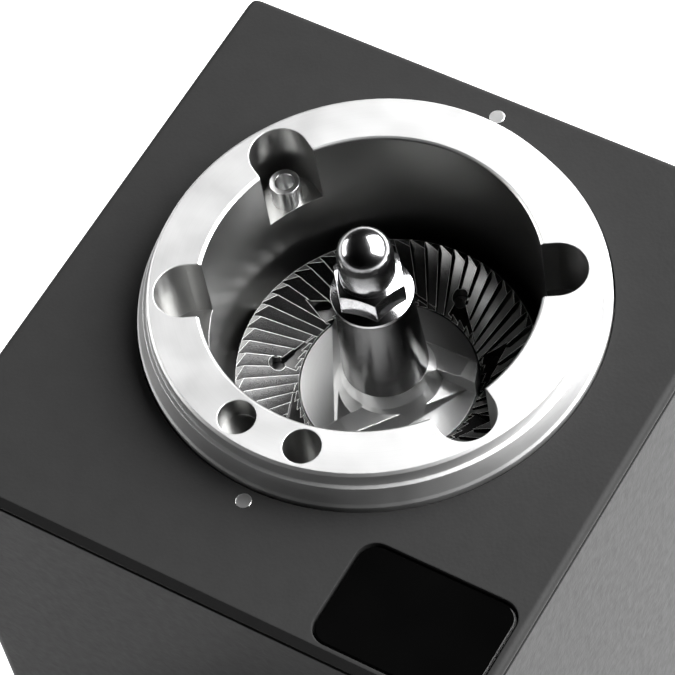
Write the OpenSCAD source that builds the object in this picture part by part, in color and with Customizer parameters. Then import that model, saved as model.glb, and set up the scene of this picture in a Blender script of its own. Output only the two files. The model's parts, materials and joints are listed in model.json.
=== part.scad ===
// Burr coffee grinder with a vertical motor and an open grinding chamber.
// Z is up, X is to the right, the front faces -Y, and Z = 0 is the surface that the feet stand on.
// Heights marked "below the deck" are measured down from the flat top of the cover.

/* [Housing] */
// Overall width of the housing, cover and base
body_w = 116; // [96:1:140]
// Depth of the housing from front face to back face
body_d = 120; // [100:1:145]
// Height of the deck above the standing surface
deck_h = 292; // [270:1:352]
// Thickness of the housing walls
wall = 2.5; // [2:0.1:3.2]
// Outside radius of the housing's upright corners
corner_r = 3.5; // [3:0.5:6]
// Distance from the chamber axis to the housing's back face
axis_back = 52.2; // [50:0.1:60]
// Length of the base in front of the housing
base_nose = 60; // [50:1:72]
// Thickness of the cast base
base_t = 14; // [12:0.5:17]
// Height of the rubber feet below the base
foot_h = 4; // [3:0.5:6]
// Radius of a rubber foot
foot_r = 9; // [7:0.5:11]

/* [Cover] */
// Thickness of the cover plate
cover_t = 4; // [3.4:0.1:5]
// Height of the cover's visible edge above the shadow gap
cover_edge = 1.5; // [1.4:0.1:1.9]
// Size of the chamfer along the cover's front edge and of its other edge radii
edge_cut = 1.4; // [1:0.1:1.4]
// Height of the shadow gap under the cover
gap_h = 1.2; // [0.8:0.1:1.5]
// Depth of the shadow gap
gap_d = 1.2; // [0.8:0.1:1.6]
// Radius of a flush index dot
dot_r = 1.5; // [1:0.1:2.5]
// Distance of the index dots from the chamber axis
dot_at = 47.1; // [46.5:0.1:49]

/* [Display] */
// Width of the display recess
display_w = 32.4; // [26:0.1:34]
// Depth of the display recess, front to back
display_d = 22.3; // [18:0.1:24]
// Strip of cover left to the right of the recess
display_side = 2; // [1.8:0.1:4]
// Strip of cover left in front of the recess
display_front = 2.1; // [1.8:0.1:4]
// Corner radius of the recess
display_r = 4; // [2.5:0.5:5]
// Thickness of the display glass
glass_t = 1.6; // [1.2:0.1:1.8]
// Gap round the display glass
glass_gap = 0.4; // [0.3:0.1:0.6]
// How far the glass lies below the deck
glass_drop = 0.4; // [0.2:0.1:0.6]

/* [Chamber] */
// Diameter of the lower burr
burr_d = 58; // [48:1:62]
// Radial gap between the burr and the chamber bore
burr_gap = 3; // [2.5:0.1:3.5]
// Width of the ring's flat top face
ring_w = 9.5; // [8.8:0.1:10.2]
// Height of the ring above the deck
ring_rise = 7.7; // [6.5:0.1:9]
// How far the ring's foot flange reaches past its top face
flange_out = 2.75; // [2:0.05:3.2]
// Clearance between the flange and the hole in the cover
cover_clear = 0.35; // [0.2:0.05:0.5]
// Wall of the chamber below the flange
chamber_wall = 6.5; // [5.5:0.1:7.5]
// Thickness of the chamber floor
floor_t = 6; // [5:0.5:8]
// Radius of a bayonet recess
recess_r = 5.8; // [5:0.1:6.2]
// How far a bayonet recess reaches into the ring from the bore
recess_reach = 8.2; // [7:0.1:8.6]
// Depth of a bayonet recess below the ring's top
recess_deep = 15.6; // [12:0.1:17]
// Radius of an index hole in the ring
index_r = 3.6; // [3:0.1:3.8]
// Angle of each index hole from the front
index_angle = 10.75; // [9:0.25:16]
// Outer radius of the hollow locating pin
pin_r = 2.9; // [2.4:0.1:3.4]
// Bore radius of the hollow locating pin
pin_bore = 1.9; // [1.4:0.1:2.1]

/* [Burr and carrier] */
// Depth of the burr's top plane below the deck
burr_drop = 22; // [18.5:0.1:26]
// Overall thickness of the burr
burr_t = 8; // [7:0.1:9.5]
// Radius of the burr's inner bore
burr_bore = 17.5; // [14.6:0.1:18.5]
// Number of burr teeth
teeth = 60; // [48:3:72]
// Angle at which the tooth grooves fall from the rim towards the bore
tooth_fall = 23; // [18:0.5:28]
// Angle of each tooth's sloped face
tooth_slope = 22; // [16:0.5:26]
// Radius of the circle that the tooth edges are tangent to
tooth_skew = 7.5; // [5:0.1:9]
// Radius at which the burr screws sit
burr_screw_at = 21.8; // [21.4:0.1:22.5]
// Thickness of the carrier disc
carrier_t = 4.5; // [4:0.1:5.5]
// Height of the wipers below the carrier disc
wiper_h = 3; // [2:0.1:4]
// Gap between the wipers and the chamber
wiper_gap = 0.8; // [0.6:0.1:1.2]
// Radius of the centre column at its foot
column_r = 8.3; // [7.6:0.1:9.5]
// Radius of the centre column at its top
column_top_r = 7.3; // [6.6:0.1:7.5]
// Height of the centre column's top above the deck
column_rise = 3; // [1:0.1:6]

/* [Cap nut] */
// Radius of the nut's flange
nut_flange_r = 7.8; // [7.4:0.1:9]
// Width of the nut across its flats
nut_flats = 12.2; // [11:0.1:13]
// Height from the nut's underside to the top of its hexagon
nut_h = 7; // [5.5:0.1:8.5]
// Radius of the nut's dome
dome_r = 5.27; // [4.9:0.01:5.5]
// Height of the straight neck between hexagon and dome
neck_h = 6; // [4:0.1:8]

/* [Motor] */
// Radius of the shaft between its bearings
shaft_r = 6; // [5:0.1:7]
// Radius of the shaft above the chamber floor
spindle_r = 4; // [3.5:0.1:4.4]
// Outer diameter of the motor
motor_d = 76; // [64:1:82]
// Length of the motor's can
can_len = 78; // [60:1:92]
// Thickness of the motor bells
bell_t = 12; // [10.5:0.5:14]
// Outer radius of the bearings
bearing_r = 14; // [12:0.5:16]
// Width of the bearings
bearing_w = 8; // [7:0.5:9]
// Thickness of the motor plate
plate_t = 6; // [5:0.5:8]
// Radius of the rotor core
rotor_r = 20; // [17:0.5:22]
// Length of the rotor and stator cores
core_len = 44; // [36:1:50]
// Radius of the cooling fan
fan_r = 32; // [27:0.5:34]
// Height of the cooling fan
fan_h = 12; // [9:0.5:15]
// Radius of the frame posts
post_r = 4.5; // [4:0.1:5]
// Gap between the frame posts and the housing walls
post_gap = 5; // [3:0.5:8]

/* [Outlet] */
// Inside width of the chute
chute_w = 20; // [16:0.5:24]
// Wall thickness of the chute and spout
chute_wall = 2.2; // [1.8:0.1:3]
// Steepness of the chute in degrees below level
chute_slope = 50; // [47:1:53]
// Depth of the spout's mouth below the deck
spout_drop = 104; // [98:1:112]
// Inside depth of the spout, front to back
spout_d = 20; // [18:0.5:24]
// Distance between the fork's arms
fork_gap = 46; // [40:1:56]
// Length of the fork in front of the housing
fork_len = 50; // [44:1:56]
// Thickness of the fork
fork_t = 9; // [8:0.5:11]
// Depth of the fork's top below the deck at its middle position
fork_drop = 176; // [165:1:190]
// How far the fork slides up and down from its middle position
fork_travel = 18; // [12:1:22]
// Radius of the fork's clamping stud
stud_r = 2.5; // [2:0.1:3]
// Radius of the fork's knob
knob_r = 9; // [8:0.5:11]

/* [Controls] */
// Radius of the start button
button_r = 8; // [7:0.1:10]
// Depth of the start button's centre below the deck
button_drop = 96; // [85:1:110]
// Distance of the start button to the right of the axis
button_x = 36; // [32:0.5:38]
// Travel of the start button
button_travel = 2; // [1.5:0.1:2.5]
// Width of the mains inlet
inlet_w = 27; // [26:0.5:30]
// Height of the mains inlet
inlet_h = 20; // [19:0.5:23]
// Height of the inlet's centre above the base
inlet_z = 22; // [20:1:30]
// Width of the power rocker's opening
rocker_w = 19; // [17:0.5:22]
// Height of the power rocker's opening
rocker_h = 13; // [12:0.5:15]
// Tilt of the power rocker to either side
rocker_tilt = 9; // [6:1:10]

/* [Clearances] */
// Gap between parts that are fitted together without touching
slack = 0.15; // [0.1:0.05:0.2]
// Radial clearance of turning and sliding fits
run_gap = 0.06; // [0.04:0.01:0.08]
// Gap between moving parts that never touch
air = 0.5; // [0.4:0.1:0.8]

/* [Hidden] */
$fn = 96;
eps = 0.01;

// Places along Y: the housing's back face is flush with the base's back edge, and the base is centred.
base_d = body_d + base_nose;
back_y = base_d / 2;
front_y = back_y - body_d;
axis_y = back_y - axis_back;
axis_front = axis_y - front_y;

// Heights of the fixed structure above the standing surface.
base_top = foot_h + base_t;
wall_top = deck_h - cover_edge - gap_h;

// Chamber radii, measured from the axis.
bore_r = burr_d / 2 + burr_gap;
ring_r = bore_r + ring_w;
flange_r = ring_r + flange_out;
chamber_r = bore_r + chamber_wall;
recess_tip = bore_r + recess_reach;
skirt_drop = recess_deep - ring_rise + 4;
recess_angles = [30, 150, 210, 330];
index_at = (bore_r + ring_r) / 2;
pin_angle = 150;
pin_at = recess_tip - recess_r + 0.6;
pin_sink = 3;
pin_stand = 5.5;

// Depths below the deck of the rotating stack and of what carries it.
burr_foot = burr_drop + burr_t;
tooth_from = sqrt(pow(burr_d / 2, 2) - pow(tooth_skew, 2));
tooth_to = sqrt(pow(burr_bore, 2) - pow(tooth_skew, 2));
hub_rim_drop = burr_drop + (tooth_from - tooth_to) * tan(tooth_fall);
hub_top_drop = burr_drop - 2.1;
carrier_foot = burr_foot + carrier_t;
floor_drop = carrier_foot + wiper_h + wiper_gap;
chamber_foot = floor_drop + floor_t;
plate_foot = chamber_foot + plate_t;
can_top = plate_foot + bell_t;
can_foot = can_top + can_len;
motor_foot = can_foot + bell_t;
bearing_lip = 2;
can_bore = motor_d / 2 - 2;
seal_r = shaft_r + 4;
pilot_r = seal_r + 3;
pilot_h = 4;
chamber_screw_at = bore_r + chamber_wall / 2;
motor_screw_at = (pilot_r + can_bore) / 2 + 2;
fan_top = motor_foot + 3;
fan_foot = fan_top + fan_h;
core_mid = (can_top + can_foot) / 2;
nut_seat = column_rise;
shaft_len_up = nut_seat + nut_h + 3;
nut_turn = 9;

// Burr screws, hub ramps and wipers repeat three times round the axis.
burr_screw_r = 1.5;
burr_screw_in = 3;
burr_screw_angle = 80;
tooth_clear = 2.4;
tooth_nick = 0.12;
clearing_in = burr_bore + 0.35;
clearing_turns = [42.3, 80.3, 121.3];
clearing_spans = [38, 41, 41];
hub_r = burr_bore - 0.3;
ramp_at = column_r + 2.4;
ramp_angle = 121.8;
ramp_h = 4.2;
ramp_lean = 2.4;
wiper_angle = 45;
wiper_w = 9;

// Frame posts stand in the housing's corners.
post_x = body_w / 2 - wall - post_gap - post_r;
post_back = back_y - 2 * foot_r - 12;
post_front = front_y + display_front + display_d + post_r + 1;
boss_h = 8;
post_stud_r = 2.5;
stud_len = 8;
posts = [for (x = [-post_x, post_x]) for (y = [post_front, post_back]) [x, y]];

// Chute and spout outlines are drawn in the YZ plane, measured from the axis and down from the deck.
nozzle_y = -bore_r - 13;
nozzle_top = burr_drop + 7;
chute_fall = tan(chute_slope);
chute_skin = chute_wall / cos(chute_slope);
face_y = -axis_front;
chute_face_top = nozzle_top - chute_skin + (nozzle_y - face_y) * chute_fall;
chute_face_foot = floor_drop + chute_skin + (nozzle_y - face_y) * chute_fall;
spout_back = face_y - slack - chute_wall;
spout_front = spout_back - spout_d;
chute_half = chute_w / 2;
chute_side = chute_half + chute_wall;
spout_ear = 10;
spout_screw_x = chute_side + spout_ear / 2;
spout_screw_drop = (chute_face_top + chute_face_foot) / 2 + 4;

// Fork and knob places.
slot_half = stud_r + 0.3;
slot_reach = fork_travel + stud_r + air;
fork_back = front_y - air;
fork_mid_z = deck_h - fork_drop - fork_t / 2;
fork_arm = 7;

// Start button.
bezel_wall = 1.8;
switch_at = 9.6;

// Control board on its standoffs.
standoff_h = 8;
board_w = 2 * (post_x - post_r - 2);
board_d = 56;
board_y = front_y + 14;
standoffs = [for (x = [-1, 1]) for (y = [5, board_d - 5]) [x * (board_w / 2 - 5), board_y + y]];

// Rear openings.
rear_inset = 1.5;
rear_y = back_y - wall - rear_inset;
rear_face = rear_y + slack + wall;
inlet_x = -22;
rocker_x = 20;
rear_port_z = base_top + inlet_z;
rear_flange = 9;
rear_screw_x = body_w / 2 - wall - 5;
rear_screw_z = [base_top + 8, (base_top + wall_top) / 2, wall_top - 16];
small_screw_r = 1.5;
rocker_box_w = rocker_w + 3;
rocker_box_h = rocker_h + 3;
rocker_pivot_y = back_y - 4.6;

// Moves to the chamber axis, at a depth below the deck.
module at_axis(down = 0) {
    translate([0, axis_y, deck_h - down]) children();
}

// Rounded rectangle centred on the origin.
module rounded(w, d, r) {
    union() {
        square([w - 2 * r, d], center = true);
        square([w, d - 2 * r], center = true);
        for (x = [-1, 1])
            for (y = [-1, 1])
                translate([x * (w / 2 - r), y * (d / 2 - r)]) circle(r);
    }
}

// Outline of the housing, shrunk by a distance on every side.
module plan(inset) {
    translate([0, (front_y + back_y) / 2])
        rounded(body_w - 2 * inset, body_d - 2 * inset, max(corner_r - inset, 0.6));
}

// Round bar of radius r that stands on its own origin.
module bar(r, h) {
    cylinder(r = r, h = h);
}

// Ring with a square section.
module tube(outer, inner, h) {
    difference() {
        bar(outer, h);
        translate([0, 0, -1]) bar(inner, h + 2);
    }
}

// Countersunk screw, its flat face at the origin and its shank below.
module flat_screw(r, shank) {
    difference() {
        union() {
            rotate_extrude() polygon([[0, 0], [2 * r, 0], [2 * r, -0.3], [r, -0.3 - r], [0, -0.3 - r]]);
            translate([0, 0, -shank]) bar(r, shank - r);
        }
        translate([0, 0, -0.9 * r]) cylinder(r = 0.9 * r, h = 2 * r, $fn = 6);
    }
}

// Recess that takes a countersunk screw.
module flat_seat(r, deep) {
    rotate_extrude()
        polygon([[0, 1], [2 * r + slack, 1], [2 * r + slack, -0.3 - slack], [r + slack, -0.3 - r - slack],
            [r + slack, -deep], [0, -deep]]);
}

// Outline of the cover seen from the front, with rounded upper edges.
module cover_front_outline() {
    union() {
        translate([-body_w / 2, -cover_edge])
            square([body_w, cover_edge - edge_cut + eps]);
        translate([-body_w / 2 + edge_cut, -cover_edge])
            square([body_w - 2 * edge_cut, cover_edge]);
        for (x = [-1, 1])
            translate([x * (body_w / 2 - edge_cut), -edge_cut])
                intersection() {
                    circle(edge_cut);
                    square(4 * edge_cut, center = true);
                }
    }
}

// Outline of the cover seen from the right: chamfered in front and rounded behind.
module cover_side_outline() {
    union() {
        polygon([[front_y, -cover_edge], [front_y, -edge_cut], [front_y + edge_cut, 0],
            [back_y - edge_cut, 0], [back_y - edge_cut, -edge_cut], [back_y, -edge_cut],
            [back_y, -cover_edge]]);
        translate([back_y - edge_cut, -edge_cut]) circle(edge_cut);
    }
}

module display_plan(inset) {
    translate([body_w / 2 - display_side - display_w / 2, front_y + display_front + display_d / 2])
        rounded(display_w - 2 * inset, display_d - 2 * inset, display_r - min(inset, display_r / 2));
}

// What of the cover reaches down between the walls, in front of the rear flanges.
module cover_under(inset) {
    intersection() {
        plan(wall + slack + inset);
        translate([-body_w, front_y]) square([2 * body_w, rear_y - wall - slack - front_y]);
    }
}

module top_cover() {
    locator = 2.5;
    lip = cover_t + 3;
    dot_h = cover_edge + gap_h;
    color([0.17, 0.17, 0.18])
    difference() {
        union() {
            translate([0, 0, deck_h])
                intersection() {
                    rotate([90, 0, 0]) linear_extrude(3 * base_d, center = true) cover_front_outline();
                    rotate([90, 0, 90]) linear_extrude(2 * body_w, center = true) cover_side_outline();
                    translate([0, 0, -cover_edge - 1]) linear_extrude(cover_edge + 2) plan(0);
                }
            translate([0, 0, wall_top]) linear_extrude(gap_h + eps) plan(gap_d);
            translate([0, 0, deck_h - cover_t])
                linear_extrude(cover_t - cover_edge) cover_under(0);
            difference() {
                translate([0, 0, deck_h - lip]) linear_extrude(lip - cover_t + eps) cover_under(0);
                translate([0, 0, deck_h - lip - 1])
                    linear_extrude(lip - cover_t + 1) plan(wall + slack + locator);
            }
            for (p = posts)
                translate([p[0], p[1], deck_h - cover_t - boss_h]) bar(post_r, boss_h + eps);
        }
        at_axis(cover_t + 1) bar(flange_r + cover_clear, cover_t + 2);
        for (s = [-1, 1])
            at_axis(dot_h) translate([0, s * dot_at, 0]) bar(dot_r, dot_h + 1);
        translate([0, 0, deck_h - glass_t - glass_drop]) linear_extrude(glass_t + 1) display_plan(0);
        translate([0, 0, deck_h - cover_t - 1]) linear_extrude(cover_t + 1) display_plan(2.2);
        for (p = posts)
            translate([p[0], p[1], deck_h - cover_t - boss_h - 1]) bar(post_stud_r, boss_h + 1);
    }
}

module index_dots() {
    dot_h = cover_edge + gap_h;
    color([0.82, 0.82, 0.82])
    for (s = [-1, 1])
        at_axis(dot_h) translate([0, s * dot_at, 0]) bar(dot_r, dot_h);
}

// U-shaped wall of the housing: front and both sides, with flanges turned in behind.
module housing_plan() {
    inner_x = body_w / 2 - wall;
    flange_x = inner_x - rear_flange;
    difference() {
        plan(0);
        intersection() {
            plan(wall);
            translate([-inner_x, front_y]) square([2 * inner_x, rear_y - wall - front_y]);
        }
        translate([-flange_x, rear_y - 2 * wall]) square([2 * flange_x, 4 * wall]);
        translate([-inner_x, rear_y]) square([2 * inner_x, 2 * wall + rear_inset]);
    }
}

// Turns a bar that stands on the origin so that it runs along Y, from front to back.
module along_y(x, y, z) {
    translate([x, y, z]) rotate([-90, 0, 0]) children();
}

module rear_screw_places(y) {
    for (s = [-1, 1])
        for (z = rear_screw_z)
            along_y(s * rear_screw_x, y, z) children();
}

module spout_screw_places(y) {
    for (s = [-1, 1])
        along_y(s * spout_screw_x, y, deck_h - spout_screw_drop) children();
}

module housing() {
    through = 4 * wall;
    color([0.19, 0.19, 0.2])
    difference() {
        translate([0, 0, base_top]) linear_extrude(wall_top - base_top) housing_plan();
        across(2 * chute_side + 2 * slack) chute_outline(face_y + 2 * wall, face_y - wall, 2 * slack);
        translate([0, front_y, fork_mid_z]) rotate([90, 0, 0])
            linear_extrude(through, center = true)
                rounded(2 * slot_half, 2 * slot_reach, slot_half - eps);
        along_y(button_x, front_y - wall, deck_h - button_drop)
            bar(button_r + bezel_wall + slack, through);
        spout_screw_places(front_y - wall) bar(small_screw_r, through);
        rear_screw_places(rear_y - 2 * wall) bar(small_screw_r, through);
    }
}

module rear_panel() {
    slot_w = 3;
    slot_h = 28;
    slot_step = 8;
    slots = 9;
    through = 4 * wall;
    panel_w = body_w - 2 * wall - 2 * slack;
    panel_h = wall_top - base_top - 2 * slack;
    color([0.19, 0.19, 0.2])
    difference() {
        translate([-panel_w / 2, rear_y + slack, base_top + slack]) cube([panel_w, wall, panel_h]);
        for (level = [0.42, 0.78])
            for (i = [0 : slots - 1])
                translate([(i - (slots - 1) / 2) * slot_step - slot_w / 2, rear_y - wall,
                    base_top + level * panel_h - slot_h / 2])
                    cube([slot_w, through, slot_h]);
        translate([inlet_x - inlet_w / 2, rear_y - wall, rear_port_z - inlet_h / 2])
            cube([inlet_w, through, inlet_h]);
        translate([rocker_x - rocker_box_w / 2, rear_y - wall, rear_port_z - rocker_box_h / 2])
            cube([rocker_box_w, through, rocker_box_h]);
        rear_screw_places(rear_y - wall) bar(small_screw_r, through);
    }
}

module rear_screws() {
    head_h = back_y - rear_face - slack;
    color([0.3, 0.3, 0.32])
    rear_screw_places(rear_face)
        difference() {
            union() {
                bar(2.8, head_h);
                translate([0, 0, -2 * wall]) bar(small_screw_r, 2 * wall + eps);
            }
            translate([0, 0, head_h / 3]) cylinder(r = 1.3, h = 2, $fn = 6);
        }
}

// Outline of the base and of what follows its edge.
module base_plan(inset) {
    rounded(body_w - 2 * inset, base_d - 2 * inset, 6 - min(inset, 4));
}

module mat_plan(inset) {
    translate([0, (front_y - base_d / 2) / 2])
        rounded(body_w - 20 - 2 * inset, base_nose - 12 - 2 * inset, 6);
}

module foot_places() {
    for (x = [-1, 1])
        for (y = [-1, 1])
            translate([x * (body_w / 2 - foot_r - 6), y * (base_d / 2 - foot_r - 6), 0]) children();
}

module base() {
    edge = 1;
    lip_h = 3;
    color([0.15, 0.15, 0.16])
    difference() {
        union() {
            translate([0, 0, foot_h]) linear_extrude(edge + eps) base_plan(edge);
            translate([0, 0, foot_h + edge]) linear_extrude(base_t - 2 * edge) base_plan(0);
            // the nose is chamfered on top, and stays full size under the housing
            translate([0, 0, base_top - edge - eps]) linear_extrude(edge + eps) base_plan(edge);
            translate([0, 0, base_top - edge - eps]) linear_extrude(edge + eps)
                intersection() {
                    base_plan(0);
                    translate([-body_w, front_y]) square([2 * body_w, body_d]);
                }
            translate([0, 0, base_top - eps]) linear_extrude(lip_h)
                intersection() {
                    difference() {
                        plan(wall + slack);
                        plan(wall + slack + 3);
                    }
                    translate([-body_w, front_y]) square([2 * body_w, body_d - 15]);
                }
        }
        translate([0, 0, base_top - 1.5]) linear_extrude(2) mat_plan(0);
        foot_places() bar(foot_r + slack, foot_h + 1);
        for (p = posts)
            translate([p[0], p[1], foot_h]) mirror([0, 0, 1]) flat_seat(post_stud_r, base_t + 1);
        for (p = standoffs)
            translate([p[0], p[1], base_top - 5]) bar(1.25, 6);
    }
}

module cup_mat() {
    groove = 1.2;
    step = 6;
    count = floor((base_nose - 24) / step / 2);
    color([0.1, 0.1, 0.1])
    difference() {
        translate([0, 0, base_top - 1.5]) linear_extrude(2.5) mat_plan(slack);
        for (i = [-count : count])
            translate([-body_w / 2 + 20, (front_y - base_d / 2) / 2 + i * step - groove / 2, base_top + 0.4])
                cube([body_w - 40, groove, 1]);
    }
}

module feet() {
    color([0.08, 0.08, 0.08])
    foot_places()
        difference() {
            bar(foot_r, foot_h + 1);
            translate([0, 0, -1]) bar(foot_r / 3, 3);
        }
}

module base_screws() {
    color([0.3, 0.3, 0.32])
    for (p = posts)
        translate([p[0], p[1], foot_h]) mirror([0, 0, 1]) flat_screw(post_stud_r, base_t + stud_len - 1);
}

module frame_posts() {
    post_h = deck_h - plate_foot - base_top;
    color([0.75, 0.75, 0.77])
    for (p = posts)
        translate([p[0], p[1], base_top])
            difference() {
                bar(post_r, post_h);
                translate([0, 0, -1]) bar(post_stud_r, stud_len + 1);
                translate([0, 0, post_h - stud_len]) bar(post_stud_r, stud_len + 1);
            }
}

module cover_posts() {
    low = deck_h - chamber_foot;
    high = deck_h - cover_t - boss_h;
    color([0.75, 0.75, 0.77])
    for (p = posts)
        translate([p[0], p[1], 0])
            union() {
                translate([0, 0, low]) bar(post_r, high - low);
                translate([0, 0, low - plate_t - stud_len + 1]) bar(post_stud_r, plate_t + stud_len);
                translate([0, 0, high - 1]) bar(post_stud_r, stud_len);
            }
}

// Places round the axis, at a radius, starting from an angle.
module round_axis(count, radius, from = 0) {
    for (i = [0 : count - 1])
        rotate(from + i * 360 / count) translate([radius, 0, 0]) children();
}

module motor_plate() {
    edge_gap = 2;
    color([0.7, 0.7, 0.72])
    difference() {
        translate([0, 0, deck_h - plate_foot]) linear_extrude(plate_t)
            intersection() {
                plan(wall + edge_gap);
                translate([-body_w, front_y]) square([2 * body_w, rear_y - wall - edge_gap - front_y]);
            }
        at_axis(plate_foot + 1) bar(pilot_r + slack, plate_t + 2);
        translate([-chute_side - 1, front_y, deck_h - plate_foot - 1])
            cube([2 * chute_side + 2, axis_y + nozzle_y + 1 - front_y, plate_t + 2]);
        at_axis(plate_foot)
            round_axis(4, chamber_screw_at, 45) mirror([0, 0, 1]) flat_seat(2, plate_t + 1);
        at_axis(chamber_foot) round_axis(4, motor_screw_at) flat_seat(2, plate_t + 1);
        for (p = posts)
            translate([p[0], p[1], deck_h - plate_foot - 1]) bar(post_stud_r + slack, plate_t + 2);
    }
}

// Recess from the bore into the ring, open to the bore, round at its tip.
module bayonet_recess() {
    centre = recess_tip - recess_r;
    translate([0, 0, ring_rise - recess_deep])
        linear_extrude(recess_deep + 1)
            union() {
                translate([centre, 0]) circle(recess_r);
                translate([bore_r - 4, -recess_r]) square([centre - bore_r + 4, 2 * recess_r]);
            }
}

module chamber_profile() {
    lip = 0.5;
    step_h = 2.7;
    polygon([[bore_r + lip, ring_rise], [ring_r - lip, ring_rise], [ring_r, ring_rise - lip],
        [ring_r + 0.4, ring_rise - step_h], [ring_r + 1.1, ring_rise - step_h - 0.2],
        [flange_r - 0.4, 1.5], [flange_r, 0.9], [flange_r, -skirt_drop],
        [chamber_r, -skirt_drop - flange_r + chamber_r], [chamber_r, -chamber_foot],
        [pilot_r, -chamber_foot], [pilot_r, -chamber_foot - pilot_h], [seal_r, -chamber_foot - pilot_h],
        [seal_r, -floor_drop], [bore_r, -floor_drop], [bore_r, ring_rise - lip]]);
}

module chamber() {
    color([0.83, 0.83, 0.82])
    at_axis()
        difference() {
            union() {
                rotate_extrude() chamber_profile();
                translate([-chute_side, nozzle_y, -chamber_foot])
                    cube([2 * chute_side, -nozzle_y - bore_r - 1, chamber_foot - nozzle_top + chute_skin]);
            }
            for (a = recess_angles)
                rotate(a) bayonet_recess();
            for (s = [-1, 1])
                rotate(-90 + s * index_angle)
                    translate([index_at, 0, ring_rise - (s < 0 ? 5 : 12)]) bar(index_r, 13);
            translate([-chute_half, nozzle_y - 1, -floor_drop])
                cube([chute_w, 1 - nozzle_y - bore_r + 6, floor_drop - nozzle_top]);
            rotate(pin_angle) translate([pin_at, 0, ring_rise - recess_deep - pin_sink]) bar(pin_r, 9);
            translate([0, 0, -chamber_foot])
                round_axis(4, chamber_screw_at, 45) translate([0, 0, -1]) bar(2, 13);
        }
}

module locating_pin() {
    color([0.8, 0.8, 0.8])
    at_axis(recess_deep - ring_rise + pin_sink) rotate(pin_angle) translate([pin_at, 0, 0])
        difference() {
            bar(pin_r, pin_sink + pin_stand);
            translate([0, 0, 2]) bar(pin_bore, pin_sink + pin_stand);
        }
}

module chamber_screws() {
    color([0.3, 0.3, 0.32])
    at_axis(plate_foot) round_axis(4, chamber_screw_at, 45) mirror([0, 0, 1]) flat_screw(2, plate_t + 10);
}

module shaft_seal() {
    color([0.1, 0.1, 0.1])
    at_axis(chamber_foot - 1) tube(seal_r - eps, shaft_r + run_gap, chamber_foot - floor_drop - 1);
}

// One groove: it starts at the rim and runs inwards and down, upright on one side and sloped on the other.
module tooth_groove() {
    translate([tooth_skew, tooth_from, -burr_drop - tooth_nick])
        rotate([tooth_fall, 0, 0])
            rotate([90, 0, 0])
                linear_extrude(burr_d, center = true)
                    polygon([[0, tooth_clear], [0, 0], [tooth_clear / tan(tooth_slope), tooth_clear]]);
}

// The blank follows the ridges of the teeth between the flat rim and the bore.
module burr_blank() {
    tooth_h = 2 * PI / teeth * tan(tooth_slope);
    land_r = burr_d / 2 - 2.4;
    rotate_extrude()
        polygon([[burr_bore, -burr_foot], [burr_d / 2, -burr_foot], [burr_d / 2, -burr_drop],
            [land_r, -burr_drop], [burr_bore, tooth_h * burr_bore - hub_rim_drop]]);
}

// Clearing inside the teeth: each straight side starts near the bore and runs outwards to a step.
module tooth_end_clearing() {
    sides = len(clearing_turns);
    translate([0, 0, 0.4 - hub_rim_drop])
        linear_extrude(burr_t)
            for (i = [0 : 2])
                for (k = [0 : sides - 1])
                    rotate(i * 120 + clearing_turns[k])
                        polygon([[0, -1], [clearing_in, -1], [clearing_in, 0],
                            [clearing_in, clearing_in * tan(clearing_spans[k])], [0, 0.1]]);
}

module lower_burr() {
    color([0.62, 0.62, 0.63])
    at_axis()
        difference() {
            burr_blank();
            for (i = [0 : teeth - 1])
                rotate(i * 360 / teeth) tooth_groove();
            tooth_end_clearing();
            translate([0, 0, -burr_foot - 1])
                round_axis(3, burr_screw_at, burr_screw_angle) bar(burr_screw_r + eps, 2 * burr_t);
        }
}

module burr_screws() {
    color([0.4, 0.4, 0.42])
    at_axis(carrier_foot)
        round_axis(3, burr_screw_at, burr_screw_angle)
            mirror([0, 0, 1]) flat_screw(burr_screw_r - eps, carrier_t + burr_screw_in);
}

// One ramp of the hub: it climbs along a straight edge, and its wall leans towards the axis.
module hub_ramp() {
    half_len = sqrt(pow(hub_r, 2) - pow(ramp_at, 2));
    translate([0, 0, -hub_rim_drop - eps])
        intersection() {
            translate([0, ramp_at, 0]) rotate([90, 0, 0])
                linear_extrude(ramp_at - column_r / 2)
                    polygon([[-half_len, 0], [hub_r, 0], [hub_r, ramp_h], [half_len, ramp_h]]);
            rotate([90, 0, 90]) linear_extrude(2 * hub_r, center = true)
                polygon([[0, 0], [ramp_at, 0], [ramp_at - ramp_lean, ramp_h], [0, ramp_h]]);
        }
}

module burr_carrier() {
    color([0.78, 0.78, 0.78])
    at_axis()
        difference() {
            union() {
                translate([0, 0, -carrier_foot]) bar(burr_d / 2 + 0.5, carrier_t);
                rotate_extrude()
                    polygon([[0, -burr_foot], [hub_r, -burr_foot], [hub_r, -hub_rim_drop],
                        [ramp_at, -hub_rim_drop], [column_r + 0.7, -hub_rim_drop + ramp_h],
                        [column_r, -hub_top_drop], [0, -hub_top_drop]]);
                intersection() {
                    translate([0, 0, -burr_foot]) bar(hub_r, burr_t);
                    for (i = [0 : 2])
                        rotate(ramp_angle + i * 120) hub_ramp();
                }
                for (i = [0 : 2])
                    rotate(wiper_angle + i * 120)
                        intersection() {
                            translate([burr_d / 2 - 6, -wiper_w / 2, -carrier_foot - wiper_h])
                                cube([20, wiper_w, wiper_h + carrier_t]);
                            translate([0, 0, -floor_drop]) bar(bore_r - wiper_gap, floor_drop);
                        }
            }
            translate([0, 0, -carrier_foot - 1]) bar(spindle_r + slack, carrier_foot);
            translate([0, 0, -carrier_foot])
                round_axis(3, burr_screw_at, burr_screw_angle)
                    mirror([0, 0, 1]) flat_seat(burr_screw_r, carrier_t + 1);
        }
}

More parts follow.
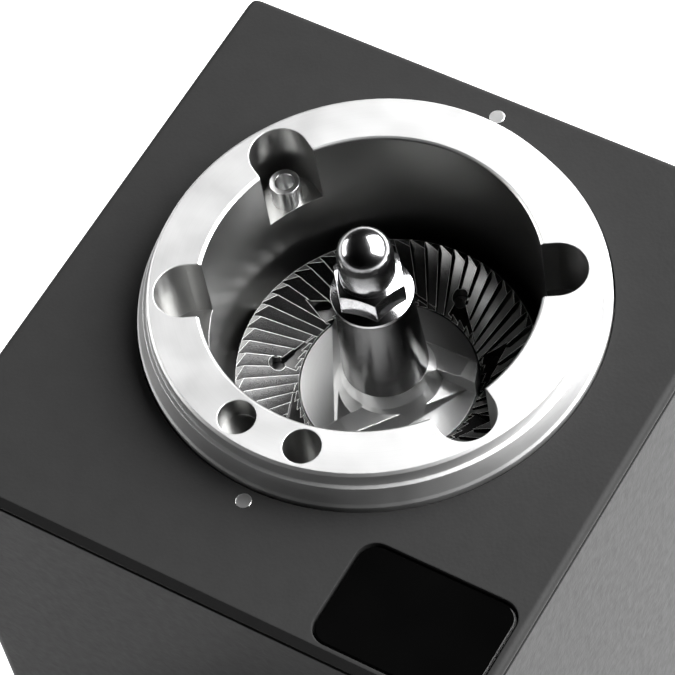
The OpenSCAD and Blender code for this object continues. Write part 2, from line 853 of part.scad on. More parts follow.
module centre_column() {
    color([0.45, 0.45, 0.46])
    at_axis()
        rotate_extrude()
            polygon([[spindle_r + slack, -hub_top_drop], [column_r, -hub_top_drop],
                [column_top_r, column_rise - 0.5], [column_top_r - 0.5, column_rise],
                [spindle_r + slack, column_rise]]);
}

module cap_nut() {
    rim = 0.9;
    skirt = 1.8;
    corner = nut_flats / 2 / cos(30);
    color([0.85, 0.85, 0.86])
    at_axis(-nut_seat)
        difference() {
            union() {
                rotate_extrude()
                    polygon([[0, 0], [nut_flange_r - 0.3, 0], [nut_flange_r, 0.3], [nut_flange_r, rim],
                        [nut_flats / 2, skirt], [0, skirt]]);
                intersection() {
                    rotate(nut_turn) cylinder(r = corner, h = nut_h, $fn = 6);
                    rotate_extrude()
                        polygon([[0, 0], [corner + 1, 0], [corner + 1, nut_h - 1.6],
                            [nut_flats / 2 - 0.4, nut_h], [0, nut_h]]);
                }
                bar(dome_r, nut_h + neck_h);
                translate([0, 0, nut_h + neck_h]) sphere(dome_r);
            }
            translate([0, 0, -1]) bar(spindle_r + eps, nut_h + 4.5);
        }
}

module motor_shaft() {
    color([0.72, 0.72, 0.73])
    at_axis(fan_foot + 2)
        union() {
            bar(shaft_r, fan_foot + 2 - carrier_foot);
            bar(spindle_r, fan_foot + 2 + shaft_len_up);
        }
}

module rotor_core() {
    magnets = 8;
    color([0.5, 0.5, 0.52])
    at_axis(core_mid + core_len / 2)
        difference() {
            tube(rotor_r, shaft_r, core_len);
            for (i = [0 : magnets - 1])
                rotate(i * 360 / magnets) translate([rotor_r, 0, -1]) cylinder(r = 0.8, h = core_len + 2);
        }
}

module stator() {
    slots = 12;
    color([0.42, 0.42, 0.44])
    at_axis(core_mid + core_len / 2)
        difference() {
            tube(can_bore - slack, rotor_r + 0.8, core_len);
            for (i = [0 : slots - 1])
                rotate(i * 360 / slots) translate([(rotor_r + can_bore) / 2 + 1, 0, -1]) bar(3, core_len + 2);
        }
}

module windings() {
    coil_h = 10;
    inner = rotor_r + 3;
    outer = can_bore - 3;
    color([0.72, 0.42, 0.2])
    at_axis(core_mid)
        for (s = [0, 1])
            mirror([0, 0, s])
                translate([0, 0, core_len / 2])
                    rotate_extrude()
                        translate([(inner + outer) / 2, coil_h / 2]) rounded(outer - inner, coil_h, 3);
}

module motor_can() {
    color([0.55, 0.55, 0.57])
    at_axis(can_foot) tube(motor_d / 2, can_bore, can_len);
}

// Motor end plate, its outer face at the origin and the can above it.
module bell() {
    seat = bearing_lip + bearing_w;
    rotate_extrude()
        polygon([[bearing_r - 3, 0], [motor_d / 2 - 1, 0], [motor_d / 2, 1], [motor_d / 2, bell_t],
            [can_bore - slack, bell_t], [can_bore - slack, bell_t + 3], [can_bore - 3, bell_t + 3],
            [can_bore - 3, bell_t - 5], [bearing_r + 3, bell_t - 5], [bearing_r + 3, seat + 1],
            [bearing_r, seat + 1], [bearing_r, bearing_lip], [bearing_r - 3, bearing_lip]]);
}

module upper_bell() {
    color([0.6, 0.6, 0.62])
    at_axis(plate_foot)
        mirror([0, 0, 1])
            difference() {
                bell();
                round_axis(4, motor_screw_at) translate([0, 0, -1]) bar(2, bell_t);
            }
}

module lower_bell() {
    vents = 6;
    color([0.6, 0.6, 0.62])
    at_axis(motor_foot)
        difference() {
            bell();
            for (i = [0 : vents - 1])
                rotate(i * 360 / vents) translate([(bearing_r + can_bore) / 2, 0, -1]) bar(4.5, bell_t);
        }
}

// Both bearings, drawn once above the lower bell's face and once mirrored at the upper bell's.
module bearing_pair() {
    at_axis(plate_foot) mirror([0, 0, 1]) translate([0, 0, bearing_lip]) children();
    at_axis(motor_foot) translate([0, 0, bearing_lip]) children();
}

module bearing_outers() {
    color([0.7, 0.7, 0.72])
    bearing_pair() tube(bearing_r - eps, shaft_r + 3.2, bearing_w);
}

module bearing_inners() {
    color([0.8, 0.8, 0.82])
    bearing_pair() tube(shaft_r + 2.9, shaft_r + eps, bearing_w);
}

module motor_screws() {
    color([0.3, 0.3, 0.32])
    at_axis(chamber_foot) round_axis(4, motor_screw_at) flat_screw(2, plate_t + bell_t - 6);
}

module cooling_fan() {
    blades = 9;
    color([0.12, 0.12, 0.13])
    at_axis(fan_foot)
        difference() {
            union() {
                bar(fan_r, 1.6);
                bar(shaft_r + 6, fan_h);
                for (i = [0 : blades - 1])
                    rotate(i * 360 / blades)
                        translate([shaft_r + 5, -0.8, 0]) cube([fan_r - shaft_r - 5.5, 1.6, fan_h]);
            }
            translate([0, 0, -1]) bar(shaft_r + eps, fan_h + 2);
        }
}

// Solid between two outlines in the YZ plane, measured from the axis and the deck.
module across(width) {
    at_axis() rotate([90, 0, 90]) linear_extrude(width, center = true) children();
}

// Height, below the deck, of a line that leaves the nozzle at a depth and follows the chute's slope.
function sloped(depth, y) = -(depth + (nozzle_y - y) * chute_fall);

// Side view of the chute's outer shape between two places, grown by a distance above and below.
module chute_outline(back, front, grow) {
    top = nozzle_top - chute_skin - grow;
    foot = floor_drop + chute_skin + grow;
    polygon([[back, sloped(top, back)], [back, sloped(foot, back)], [front, sloped(foot, front)],
        [front, sloped(top, front)]]);
}

module chute() {
    color([0.16, 0.16, 0.17])
    difference() {
        across(2 * chute_side) chute_outline(nozzle_y - eps, face_y, 0);
        across(chute_w)
            polygon([[nozzle_y + 1, sloped(nozzle_top, nozzle_y + 1)],
                [nozzle_y + 1, sloped(floor_drop, nozzle_y + 1)],
                [face_y - 1, sloped(floor_drop, face_y - 1)], [face_y - 1, sloped(nozzle_top, face_y - 1)]]);
    }
}

module spout() {
    back = face_y - slack;
    front = spout_front - chute_wall;
    outer_top = nozzle_top - chute_skin;
    color([0.16, 0.16, 0.17])
    difference() {
        union() {
            across(2 * chute_side)
                polygon([[back, sloped(outer_top, back)], [back, -spout_drop], [front, -spout_drop],
                    [front, sloped(outer_top, front)]]);
            across(2 * chute_side + 2 * spout_ear)
                translate([back - 2.5, -spout_screw_drop - 7]) square([2.5, 14]);
        }
        across(chute_w)
            polygon([[back + 1, sloped(nozzle_top, back + 1)], [back + 1, sloped(floor_drop, back + 1)],
                [spout_back, sloped(floor_drop, spout_back)], [spout_back, -spout_drop - 1],
                [spout_front, -spout_drop - 1], [spout_front, sloped(nozzle_top, spout_front)]]);
        spout_screw_places(front_y - 2 * wall) bar(small_screw_r + slack, 4 * wall);
    }
}

module spout_screws() {
    color([0.4, 0.4, 0.42])
    spout_screw_places(front_y - slack - 2.5) mirror([0, 0, 1])
        difference() {
            union() {
                bar(2.8, 2);
                translate([0, 0, -2.5 - 2 * wall]) bar(small_screw_r - eps, 2.5 + 2 * wall);
            }
            translate([0, 0, 1]) cylinder(r = 1.3, h = 2, $fn = 6);
        }
}

module cup_fork() {
    block_w = fork_gap - 16;
    block_h = 26;
    block_d = 7;
    half = fork_gap / 2 + fork_arm;
    front = front_y - fork_len;
    color([0.16, 0.16, 0.17])
    difference() {
        union() {
            translate([-half, fork_back - block_d, fork_mid_z - fork_t / 2])
                cube([2 * half, block_d, fork_t]);
            translate([-block_w / 2, fork_back - block_d, fork_mid_z - block_h / 2])
                cube([block_w, block_d, block_h]);
            for (s = [-1, 1])
                translate([s * (fork_gap + fork_arm) / 2 - fork_arm / 2, front, fork_mid_z - fork_t / 2])
                    cube([fork_arm, fork_back - front - 1, fork_t]);
        }
        along_y(0, fork_back - block_d - 1, fork_mid_z) bar(stud_r + run_gap, block_d + 2);
    }
}

module fork_knob() {
    grips = 12;
    knob_t = 11;
    back = fork_back - 7 - air;
    nut_back = front_y + wall + 0.3 + 6;
    color([0.14, 0.14, 0.15])
    along_y(0, back - knob_t, fork_mid_z)
        difference() {
            union() {
                bar(knob_r, knob_t);
                bar(stud_r, nut_back - back + knob_t);
            }
            for (i = [0 : grips - 1])
                rotate(i * 360 / grips) translate([knob_r + 0.5, 0, -1]) bar(1.2, knob_t - 2);
        }
}

module fork_nut() {
    color([0.7, 0.7, 0.72])
    difference() {
        translate([-12, front_y + wall + 0.3, fork_mid_z - 10]) cube([24, 5, 20]);
        along_y(0, front_y, fork_mid_z) bar(stud_r + run_gap, 12);
    }
}

// The start button and its bezel are drawn about their own axis, which points into the housing.
module at_button() {
    along_y(button_x, front_y, deck_h - button_drop) children();
}

module start_button() {
    color([0.6, 0.6, 0.62])
    at_button()
        rotate_extrude()
            polygon([[0, -4], [button_r - 0.6, -4], [button_r, -3.4], [button_r, 3.5], [button_r + 0.7, 3.5],
                [button_r + 0.7, 5.5], [0, 5.5]]);
}

module button_bezel() {
    color([0.25, 0.25, 0.26])
    at_button()
        rotate_extrude()
            polygon([[button_r + run_gap, -1.5], [button_r + bezel_wall + 1.4, -1.5],
                [button_r + bezel_wall + 1.9, -1], [button_r + bezel_wall + 1.9, 0],
                [button_r + bezel_wall, 0], [button_r + bezel_wall, switch_at],
                [button_r + 0.9, switch_at], [button_r + 0.9, 3.2], [button_r + run_gap, 3.2]]);
}

module button_switch() {
    body = 2 * button_r + 4;
    color([0.1, 0.1, 0.1])
    at_button()
        union() {
            translate([-body / 2, -body / 2, switch_at]) cube([body, body, 10]);
            translate([0, 0, 5.5 + button_travel + 0.1]) bar(2, switch_at - 5.5 - button_travel);
        }
}

module display_glass() {
    bevel = 0.3;
    color([0.03, 0.03, 0.03])
    union() {
        translate([0, 0, deck_h - glass_drop - glass_t])
            linear_extrude(glass_t - bevel) display_plan(glass_gap);
        translate([0, 0, deck_h - glass_drop - bevel - eps])
            linear_extrude(bevel + eps) display_plan(glass_gap + bevel);
    }
}

module display_board() {
    top = deck_h - glass_drop - glass_t;
    color([0.1, 0.35, 0.18])
    union() {
        translate([0, 0, top - 3]) linear_extrude(2.9) display_plan(5.5);
        translate([0, 0, top - 4.6]) linear_extrude(1.6 + eps) display_plan(5.2);
    }
}

module power_rocker() {
    half = rocker_h / 2 - 0.9;
    face = 3.1;
    color([0.1, 0.1, 0.1])
    translate([rocker_x, rocker_pivot_y, rear_port_z])
        rotate([-rocker_tilt, 0, 0])
            union() {
                rotate([90, 0, 90]) linear_extrude(rocker_w - 2 * air, center = true)
                    polygon([[face, half], [face - 1, 0], [face, -half],
                        [-1.5, -half + 1], [-1.5, half - 1]]);
                rotate([0, 90, 0]) cylinder(r = 1, h = rocker_w + 1.6, center = true);
            }
}

module rocker_housing() {
    flange = 0.9;
    depth = 20;
    color([0.12, 0.12, 0.12])
    difference() {
        translate([rocker_x, 0, rear_port_z])
            union() {
                translate([-rocker_box_w / 2 - 2, rear_face, -rocker_box_h / 2 - 2])
                    cube([rocker_box_w + 4, flange, rocker_box_h + 4]);
                translate([-rocker_box_w / 2 + slack, rear_face - depth, -rocker_box_h / 2 + slack])
                    cube([rocker_box_w - 2 * slack, depth + eps, rocker_box_h - 2 * slack]);
            }
        translate([rocker_x - rocker_w / 2, rocker_pivot_y - 4, rear_port_z - rocker_h / 2])
            cube([rocker_w, 20, rocker_h]);
        translate([rocker_x, rocker_pivot_y, rear_port_z])
            rotate([0, 90, 0]) cylinder(r = 1 + run_gap, h = rocker_w + 2, center = true);
    }
}

module mains_inlet() {
    flange = 1;
    depth = 24;
    rim = 1.6;
    cavity = 17;
    pin_short = 5.5;
    face = rear_face + flange;
    color([0.1, 0.1, 0.1])
    translate([inlet_x, 0, rear_port_z])
        union() {
            difference() {
                union() {
                    translate([-inlet_w / 2 - 3, rear_face, -inlet_h / 2 - 3])
                        cube([inlet_w + 6, flange, inlet_h + 6]);
                    translate([-inlet_w / 2 + slack, face - depth, -inlet_h / 2 + slack])
                        cube([inlet_w - 2 * slack, depth, inlet_h - 2 * slack]);
                }
                translate([-inlet_w / 2 + rim, face - cavity, -inlet_h / 2 + rim])
                    cube([inlet_w - 2 * rim, cavity + 1, inlet_h - 2 * rim]);
            }
            for (p = [[-7, -2], [7, -2], [0, 2]])
                translate([p[0] - 1, face - cavity - eps, p[1] - 2]) cube([2, cavity - pin_short, 4]);
        }
}

module control_board() {
    color([0.08, 0.3, 0.14])
    difference() {
        translate([-board_w / 2, board_y, base_top + standoff_h]) cube([board_w, board_d, 1.6]);
        for (p = standoffs)
            translate([p[0], p[1], base_top]) bar(1.4, standoff_h + 4);
    }
}

module board_parts() {
    top = base_top + standoff_h + 1.6;
    color([0.2, 0.2, 0.25])
    translate([0, board_y, top])
        union() {
            translate([-34, 14, 0]) cube([26, 22, 24]);
            translate([4, 34, 0]) cube([34, 10, 30]);
            for (x = [2, 18])
                translate([x, 14, 0]) bar(6.5, 32);
            translate([30, 12, 0]) cube([8, 16, 12]);
        }
}

module board_standoffs() {
    color([0.8, 0.7, 0.35])
    for (p = standoffs)
        translate([p[0], p[1], base_top])
            union() {
                bar(3, standoff_h);
                translate([0, 0, -4]) bar(1.2, standoff_h + 8);
            }
}

top_cover();
index_dots();
housing();
rear_panel();
rear_screws();
base();
cup_mat();
feet();
base_screws();
frame_posts();
cover_posts();
motor_plate();
chamber();
locating_pin();
chamber_screws();
shaft_seal();
lower_burr();
burr_screws();
burr_carrier();
centre_column();
cap_nut();
motor_shaft();
rotor_core();
stator();
windings();
motor_can();
upper_bell();
lower_bell();
bearing_outers();
bearing_inners();
motor_screws();
cooling_fan();
chute();
spout();
spout_screws();
cup_fork();
fork_knob();
fork_nut();
start_button();
button_bezel();
button_switch();
display_glass();
display_board();
power_rocker();
rocker_housing();
mains_inlet();
control_board();
board_parts();
board_standoffs();
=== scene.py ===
"""Looks of an upright burr coffee grinder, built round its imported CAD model."""
import json
import math
import bpy
from mathutils import Matrix, Vector


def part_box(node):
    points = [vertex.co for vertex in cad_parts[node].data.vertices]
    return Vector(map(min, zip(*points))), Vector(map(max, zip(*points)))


MM = 0.001

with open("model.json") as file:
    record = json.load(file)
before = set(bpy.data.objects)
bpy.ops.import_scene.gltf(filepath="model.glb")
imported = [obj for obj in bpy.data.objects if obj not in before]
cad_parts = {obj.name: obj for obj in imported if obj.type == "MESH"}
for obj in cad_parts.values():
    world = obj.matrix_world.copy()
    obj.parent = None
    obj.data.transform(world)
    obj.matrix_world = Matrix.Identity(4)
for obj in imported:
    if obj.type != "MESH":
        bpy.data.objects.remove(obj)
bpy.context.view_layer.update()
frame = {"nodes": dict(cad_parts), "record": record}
NODES = frame["nodes"]

# The burr's middle gives the axis, because the chamber's box is off centre by its nozzle.
BURR_LOW, BURR_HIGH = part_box("lower_burr")
BURR_MID = (BURR_LOW + BURR_HIGH) / 2
AXIS = Vector((BURR_MID.x, BURR_MID.y, 0.0))
RING_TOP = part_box("chamber")[1].z
DECK_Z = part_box("top_cover")[1].z

BURR_GAP = 3.0 * MM         # from the burr's rim to the chamber's bore
RING_CUT_W = 8.7 * MM       # how far the recesses and index holes reach out from the bore
TOP_SKIN = 0.3 * MM         # depth below the ring's top where the painted shade of the bore and its cuts begins
BORE_SLACK = 0.05 * MM      # lets the bore's own wall count as inside it
BORE_R = (BURR_HIGH.x - BURR_LOW.x) / 2 + BURR_GAP


# ---------------------------------------------------------------- materials

COAT_SHEEN = 0.05           # how strongly the black coat reflects; a gloss paint has 0.5
EDGE_SAMPLES = 4
CREST_SAMPLES = 6
OPENNESS_SAMPLES = 8


class Look:
    """A Principled material, with short ways to add nodes to it."""

    def __init__(self, name, metallic=0.0):
        self.material = bpy.data.materials.new(name)
        self.material.use_nodes = True
        self.tree = self.material.node_tree
        self.shader = self.tree.nodes["Principled BSDF"]
        self.shader.inputs["Metallic"].default_value = metallic
        self.place = self.node("ShaderNodeTexCoord").outputs["Object"]
        self.normal = None

    def node(self, kind, links=None, **settings):
        """Adds a node, sets its settings, and links or sets its inputs."""
        made = self.tree.nodes.new(kind)
        for key, value in settings.items():
            setattr(made, key, value)
        for socket, value in (links or {}).items():
            if isinstance(value, bpy.types.NodeSocket):
                self.tree.links.new(value, made.inputs[socket])
            else:
                made.inputs[socket].default_value = value
        return made

    def stretched(self, scale):
        """Object coordinates with a factor on each axis."""
        return self.node("ShaderNodeMapping", {"Vector": self.place, "Scale": scale}).outputs["Vector"]

    def noise(self, scale, vector=None, detail=2.0, rough=0.5):
        """Soft noise from 0 to 1; scale is in features per metre where the vector is the plain one."""
        made = self.node("ShaderNodeTexNoise", {"Vector": vector or self.place, "Scale": scale,
                                                "Detail": detail, "Roughness": rough})
        return made.outputs["Fac"]

    def cells(self, scale):
        """Distance from the middles of random cells."""
        return self.node("ShaderNodeTexVoronoi", {"Vector": self.place, "Scale": scale}).outputs["Distance"]

    def maths(self, operation, first, second):
        return self.node("ShaderNodeMath", {0: first, 1: second}, operation=operation).outputs[0]

    def vector_maths(self, operation, output, first, second=(0.0, 0.0, 0.0)):
        return self.node("ShaderNodeVectorMath", {0: first, 1: second}, operation=operation).outputs[output]

    def from_axis(self):
        """Distance from the burr's upright axis, and height."""
        off = self.vector_maths("SUBTRACT", "Vector", self.place, tuple(AXIS))
        level = self.vector_maths("MULTIPLY", "Vector", off, (1.0, 1.0, 0.0))
        distance = self.vector_maths("LENGTH", "Value", level)
        return distance, self.node("ShaderNodeSeparateXYZ", {0: off}).outputs["Z"]

    def rings(self, pitch):
        """Noise that changes with the distance from the axis and with height, and not round it."""
        distance, height = self.from_axis()
        place = self.node("ShaderNodeCombineXYZ", {0: self.maths("MULTIPLY", distance, 1 / pitch),
                                                   1: self.maths("MULTIPLY", height, 1 / pitch)})
        return self.noise(1.0, place.outputs[0], detail=3, rough=0.6)

    def colour(self, share, dark, light, low=0.3, high=0.7):
        """Base colour that goes from dark to light as share goes from low to high."""
        made = self.node("ShaderNodeValToRGB", {"Fac": share})
        for element, place, tint in zip(made.color_ramp.elements, (low, high), (dark, light)):
            element.position = place
            element.color = (*tint, 1.0)
        self.tree.links.new(made.outputs["Color"], self.shader.inputs["Base Color"])

    def roughness(self, share, least, most, low=0.3, high=0.7):
        """Roughness that goes from least to most as share goes from low to high."""
        spread = self.node("ShaderNodeMapRange", {"Value": share, "From Min": low, "From Max": high,
                                                  "To Min": least, "To Max": most})
        self.tree.links.new(spread.outputs[0], self.shader.inputs["Roughness"])

    def mixed(self, share, socket, value):
        """Puts another value in a linked socket where share is 1."""
        kind = "FLOAT" if socket == "Roughness" else "RGBA"
        mix = self.node("ShaderNodeMix", data_type=kind)
        factor, first, second = [i for i in mix.inputs if i.enabled]
        target = self.shader.inputs[socket]
        self.tree.links.new(share, factor)
        self.tree.links.new(target.links[0].from_socket, first)
        second.default_value = value
        self.tree.links.new(next(o for o in mix.outputs if o.enabled), target)

    def shaded_by(self, normal):
        """Takes a normal for the shader, and for the next bump to start from."""
        self.normal = normal
        self.tree.links.new(normal, self.shader.inputs["Normal"])

    def rounded(self, radius, samples):
        """The normal that edges would have if they were rounded to this radius."""
        return self.node("ShaderNodeBevel", {"Radius": radius}, samples=samples).outputs["Normal"]

    def soft_edges(self, radius):
        self.shaded_by(self.rounded(radius, EDGE_SAMPLES))

    def bump(self, height, distance, strength):
        links = {"Height": height, "Distance": distance, "Strength": strength}
        if self.normal is not None:
            links["Normal"] = self.normal
        self.shaded_by(self.node("ShaderNodeBump", links).outputs["Normal"])


def grey(level):
    return (level, level, level)


def coat(name, level, grain, depth):
    """Powder coat: fine pebbled grain, faint mottling and slightly worn sheen."""
    look = Look(name)
    look.shader.inputs["Specular IOR Level"].default_value = COAT_SHEEN
    look.colour(look.noise(220, detail=4), grey(level * 0.97), grey(level * 1.04))
    look.roughness(look.noise(500, detail=3), 0.40, 0.47)
    look.soft_edges(0.35 * MM)
    look.bump(look.cells(grain), depth, 0.8)
    look.bump(look.noise(grain * 0.45, detail=3), depth, 0.5)
    return look


def turned(name, level, rough, pitch=0.25 * MM, depth=0.002 * MM):
    """Steel or aluminium off a lathe: rings round the axis, smudges and soft edges."""
    look = Look(name, metallic=1.0)
    rings = look.rings(pitch)
    look.colour(rings, grey(level * 0.96), grey(level))
    look.roughness(look.noise(90, detail=4), rough * 0.93, rough * 1.08)
    look.soft_edges(0.25 * MM)
    look.bump(rings, depth, 0.6)
    return look


def painted_bore_shade(look):
    """Paints shade into the chamber's bore and what is cut into its rim, below the bright top face, and
    smooths them.
    """
    rim_shade_colour, bore_shade_colour, cut_rough = (0.34, 0.34, 0.335, 1.0), (0.20, 0.20, 0.197, 1.0), 0.32
    distance, height = look.from_axis()
    below = look.maths("LESS_THAN", height, RING_TOP - TOP_SKIN)
    rim_shade_mask = look.maths("MULTIPLY", below, look.maths("LESS_THAN", distance, BORE_R + RING_CUT_W))
    bore_shade_mask = look.maths("MULTIPLY", below, look.maths("LESS_THAN", distance, BORE_R + BORE_SLACK))
    # painted shade: the rim's recesses and index holes go darker, and the bore darker still
    look.mixed(rim_shade_mask, "Base Color", rim_shade_colour)
    look.mixed(bore_shade_mask, "Base Color", bore_shade_colour)
    look.mixed(rim_shade_mask, "Roughness", cut_rough)
    return look


def ground(name, colour, rough, stretch=(400, 3000, 3000), depth=0.002 * MM, edge=0.15 * MM):
    """Ground, brushed or plated metal: fine straight scratches and faint stains."""
    look = Look(name, metallic=1.0)
    lines = look.noise(1.0, look.stretched(stretch), detail=3, rough=0.65)
    dark = tuple(c * 0.85 for c in colour)
    look.colour(look.noise(140, detail=4), dark, colour)
    look.roughness(lines, rough * 0.75, rough * 1.3)
    look.soft_edges(edge)
    look.bump(lines, depth, 0.5)
    return look


def toothed(name, level, rough, edge):
    """Ground cutting teeth: dark flanks, painted shade in the grooves and thin painted highlights on the
    crests.

    A crest highlight is painted where a rounded-off normal leaves the flat one, and nothing stands close
    around.
    """
    crest_bend, crest_open, reach = 0.985, 0.75, 1.2 * MM
    crest_highlight_colour, crest_rough = (0.97, 0.97, 0.96, 1.0), 0.6
    look = Look(name, metallic=1.0)
    flat = look.node("ShaderNodeNewGeometry").outputs["Normal"]
    bend = look.vector_maths("DOT_PRODUCT", "Value", look.rounded(edge, CREST_SAMPLES), flat)
    openness = look.node("ShaderNodeAmbientOcclusion", {"Distance": reach},
                         samples=OPENNESS_SAMPLES).outputs["AO"]
    crest_highlight_mask = look.maths("MULTIPLY", look.maths("LESS_THAN", bend, crest_bend),
                       look.maths("GREATER_THAN", openness, crest_open))
    # painted shade: the teeth darken to half where other teeth close them in
    look.colour(openness, grey(level * 0.5), grey(level), 0.4, 0.9)
    look.roughness(look.noise(1.0, look.stretched((300, 2000, 2000)), detail=3), rough * 0.9, rough * 1.1)
    # painted highlight: near-white, rougher crests
    look.mixed(crest_highlight_mask, "Base Color", crest_highlight_colour)
    look.mixed(crest_highlight_mask, "Roughness", crest_rough)
    return look


def moulded(name, colour, rough, grain=1800, depth=0.01 * MM, edge=0.3 * MM):
    """Moulded plastic or rubber: fine texture and slight unevenness."""
    look = Look(name)
    dark = tuple(c * 0.8 for c in colour)
    look.colour(look.noise(70, detail=3), dark, colour)
    look.roughness(look.noise(300, detail=2), rough * 0.85, min(1.0, rough * 1.15))
    look.soft_edges(edge)
    look.bump(look.noise(grain, detail=2), depth, 0.6)
    return look


def board(name):
    """Solder mask with copper tracks faintly showing through."""
    look = Look(name)
    tracks = look.node("ShaderNodeTexBrick", {"Vector": look.place, "Scale": 260.0, "Mortar Size": 0.03})
    look.colour(tracks.outputs["Fac"], (0.01, 0.10, 0.035), (0.03, 0.20, 0.07), 0.2, 0.8)
    look.roughness(look.noise(400), 0.25, 0.45)
    look.soft_edges(0.15 * MM)
    look.bump(tracks.outputs["Fac"], 0.03 * MM, 0.6)
    return look


def laminated(name):
    """Stacked electrical steel: thin sheets seen from the side."""
    look = Look(name, metallic=1.0)
    sheets = look.node("ShaderNodeTexWave", {"Vector": look.place, "Scale": 320.0, "Distortion": 0.4},
                       wave_type="BANDS", bands_direction="Z")
    look.colour(sheets.outputs["Fac"], grey(0.12), grey(0.36), 0.1, 0.9)
    look.roughness(look.noise(200), 0.35, 0.6)
    look.bump(sheets.outputs["Fac"], 0.05 * MM, 0.7)
    return look


def wound(name):
    """Enamelled copper wire with varnish."""
    look = Look(name, metallic=0.9)
    look.shader.inputs["Coat Weight"].default_value = 0.5
    look.shader.inputs["Coat Roughness"].default_value = 0.2
    look.colour(look.noise(300, detail=3), (0.42, 0.14, 0.045), (0.70, 0.30, 0.12))
    look.roughness(look.noise(600), 0.25, 0.4)
    look.bump(look.noise(1500), 0.02 * MM, 0.5)
    return look


def glass(name):
    """Glossy black cover glass with faint fingerprints."""
    look = Look(name)
    look.colour(look.noise(40, detail=2), grey(0.0006), grey(0.0012))
    look.roughness(look.noise(120, detail=5), 0.03, 0.09)
    look.soft_edges(0.2 * MM)
    return look


LOOKS = {
    "black_coat": coat("black_coat", 0.017, 1500, 0.02 * MM),
    "cast_black": coat("cast_black", 0.014, 1100, 0.035 * MM),
    "bright_aluminium": turned("bright_aluminium", 0.88, 0.32),
    "dark_steel": ground("dark_steel", grey(0.20), 0.32),
    "black_silicone": moulded("black_silicone", grey(0.022), 0.6),
    "black_rubber": moulded("black_rubber", grey(0.015), 0.75),
    "machined_aluminium": ground("machined_aluminium", (0.74, 0.75, 0.77), 0.28),
    "turned_steel": painted_bore_shade(turned("turned_steel", 0.59, 0.50)),
    "polished_steel": turned("polished_steel", 0.74, 0.33, 0.4 * MM, 0.0005 * MM),
    "burr_steel": toothed("burr_steel", 0.15, 0.18, 0.12 * MM),
    "dark_polished_steel": turned("dark_polished_steel", 0.13, 0.22, 0.5 * MM, 0.001 * MM),
    "chrome": ground("chrome", (0.56, 0.56, 0.57), 0.15, (90, 90, 90), 0.0, 0.25 * MM),
    "ground_steel": turned("ground_steel", 0.66, 0.2),
    "lamination_steel": laminated("lamination_steel"),
    "copper_wire": wound("copper_wire"),
    "motor_can_steel": turned("motor_can_steel", 0.46, 0.35, 0.8 * MM),
    "cast_aluminium": ground("cast_aluminium", (0.56, 0.57, 0.58), 0.5, (700, 700, 700), 0.03 * MM),
    "black_plastic": moulded("black_plastic", grey(0.025), 0.5),
    "gloss_black_plastic": moulded("gloss_black_plastic", grey(0.015), 0.16, 900, 0.002 * MM),
    "dark_anodised": ground("dark_anodised", grey(0.07), 0.36),
    "display_glass": glass("display_glass"),
    "circuit_board": board("circuit_board"),
    "component_plastic": moulded("component_plastic", (0.06, 0.06, 0.09), 0.4),
    "brass": ground("brass", (0.72, 0.55, 0.26), 0.25),
}


def dress_nodes():
    """Every CAD node takes the look of its own material slot."""
    for row in frame["record"]["subparts"]:
        materials = NODES[row["node"]].data.materials
        materials.clear()
        materials.append(LOOKS[row["material_slot"]].material)


# ---------------------------------------------------------------- stage

EYE = Vector((226.3, -239.1, 829.3)) * MM
LOOK_AT = Vector((-2.3, 28.2, 292.0)) * MM
ROLL = math.radians(-12.1)
LENS = 185.94               # in millimetres, as the sensor's width is
SENSOR = 36.0
NEAREST, FARTHEST = 0.02, 20.0

# Each light's azimuth and elevation in degrees and distance in metres from the chamber, its size in
# metres, and its power in watts.
LIGHTS = {
    "key": ((50, 35, 1.6), (2.2, 1.6), 205),
    "fill": ((245, 20, 1.8), (1.6, 1.0), 6),
    "edge": ((190, 10, 1.5), (1.2, 0.4), 14),
}
FLOOR_HALF = 3.0
FLOOR_ROUGH = 0.6

# How the studio's strength fades along a direction's height and depth: between which two values, and
# from what to what.
STUDIO_GREY = 0.05
FADE_UP = (0.10, 0.25, 0.8, 0.03)
FADE_BACK = (-0.35, 0.25, 0.1, 1.0)


def camera():
    """High in front on the right, looking down at the chamber, and tilted."""
    data = bpy.data.cameras.new("camera")
    data.lens = LENS
    data.sensor_width = SENSOR
    data.clip_start, data.clip_end = NEAREST, FARTHEST
    seen = bpy.data.objects.new("camera", data)
    bpy.context.scene.collection.objects.link(seen)
    aim = (LOOK_AT - EYE).to_track_quat("-Z", "Y").to_matrix().to_4x4()
    seen.matrix_world = Matrix.Translation(EYE) @ aim @ Matrix.Rotation(ROLL, 4, "Z")
    bpy.context.scene.camera = seen


def aimed(azimuth, elevation, distance):
    """Offset in a direction: azimuth from +X towards +Y, elevation above the horizon, in degrees."""
    a, e = math.radians(azimuth), math.radians(elevation)
    return Vector((math.cos(a) * math.cos(e), math.sin(a) * math.cos(e), math.sin(e))) * distance


def soft_light(name, place, target, size, power):
    """A rectangular light that faces its target."""
    data = bpy.data.lights.new(name, "AREA")
    data.shape = "RECTANGLE"
    data.size, data.size_y = size
    data.energy = power
    made = bpy.data.objects.new(name, data)
    bpy.context.scene.collection.objects.link(made)
    made.location = place
    made.rotation_mode = "QUATERNION"
    made.rotation_quaternion = (target - place).to_track_quat("-Z", "Y")
    return made


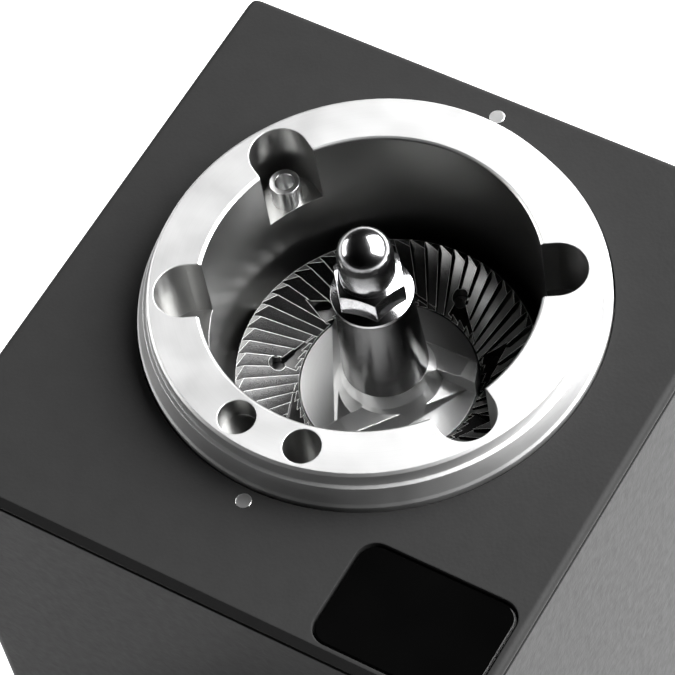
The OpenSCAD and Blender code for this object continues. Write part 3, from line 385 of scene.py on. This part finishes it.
def lights():
    """A large soft key behind on the right, a weak fill in front, and a low strip on the left."""
    middle = Vector((0.0, AXIS.y, DECK_Z))
    for name, (place, size, power) in LIGHTS.items():
        light = soft_light(name, middle + aimed(*place), middle, size, power)
        light.visible_glossy = name != "fill"


def floor():
    """Plain pale floor, very slightly uneven."""
    half = FLOOR_HALF
    corners = [(-half, -half, 0), (half, -half, 0), (half, half, 0), (-half, half, 0)]
    mesh = bpy.data.meshes.new("floor")
    mesh.from_pydata(corners, [], [(0, 1, 2, 3)])
    made = bpy.data.objects.new("floor", mesh)
    bpy.context.scene.collection.objects.link(made)
    look = Look("floor")
    look.shader.inputs["Roughness"].default_value = FLOOR_ROUGH
    look.colour(look.noise(3, detail=3), grey(0.86), grey(0.88))
    mesh.materials.append(look.material)


def fade(tree, value, low, high, at_low, at_high):
    """A factor that goes from at_low to at_high as value goes from low to high."""
    spread = tree.nodes.new("ShaderNodeMapRange")
    for socket, number in zip(("From Min", "From Max", "To Min", "To Max"), (low, high, at_low, at_high)):
        spread.inputs[socket].default_value = number
    tree.links.new(value, spread.inputs["Value"])
    return spread.outputs[0]


def surroundings():
    """A dark studio, a little lighter near the horizon, and most of all behind the object."""
    world = bpy.data.worlds.new("studio")
    world.use_nodes = True
    bpy.context.scene.world = world
    tree = world.node_tree
    background = tree.nodes["Background"]
    background.inputs["Color"].default_value = (*grey(STUDIO_GREY), 1.0)
    way = tree.nodes.new("ShaderNodeTexCoord").outputs["Generated"]
    parts = tree.nodes.new("ShaderNodeSeparateXYZ")
    tree.links.new(way, parts.inputs[0])
    product = tree.nodes.new("ShaderNodeMath")
    product.operation = "MULTIPLY"
    tree.links.new(fade(tree, parts.outputs["Z"], *FADE_UP), product.inputs[0])
    tree.links.new(fade(tree, parts.outputs["Y"], *FADE_BACK), product.inputs[1])
    tree.links.new(product.outputs[0], background.inputs["Strength"])


def tones():
    """Plain photographic tones, so that white paper comes out white and polished black stays black."""
    view = bpy.context.scene.view_settings
    view.view_transform = "Standard"
    view.look = "None"


dress_nodes()
camera()
tones()
lights()
floor()
surroundings()
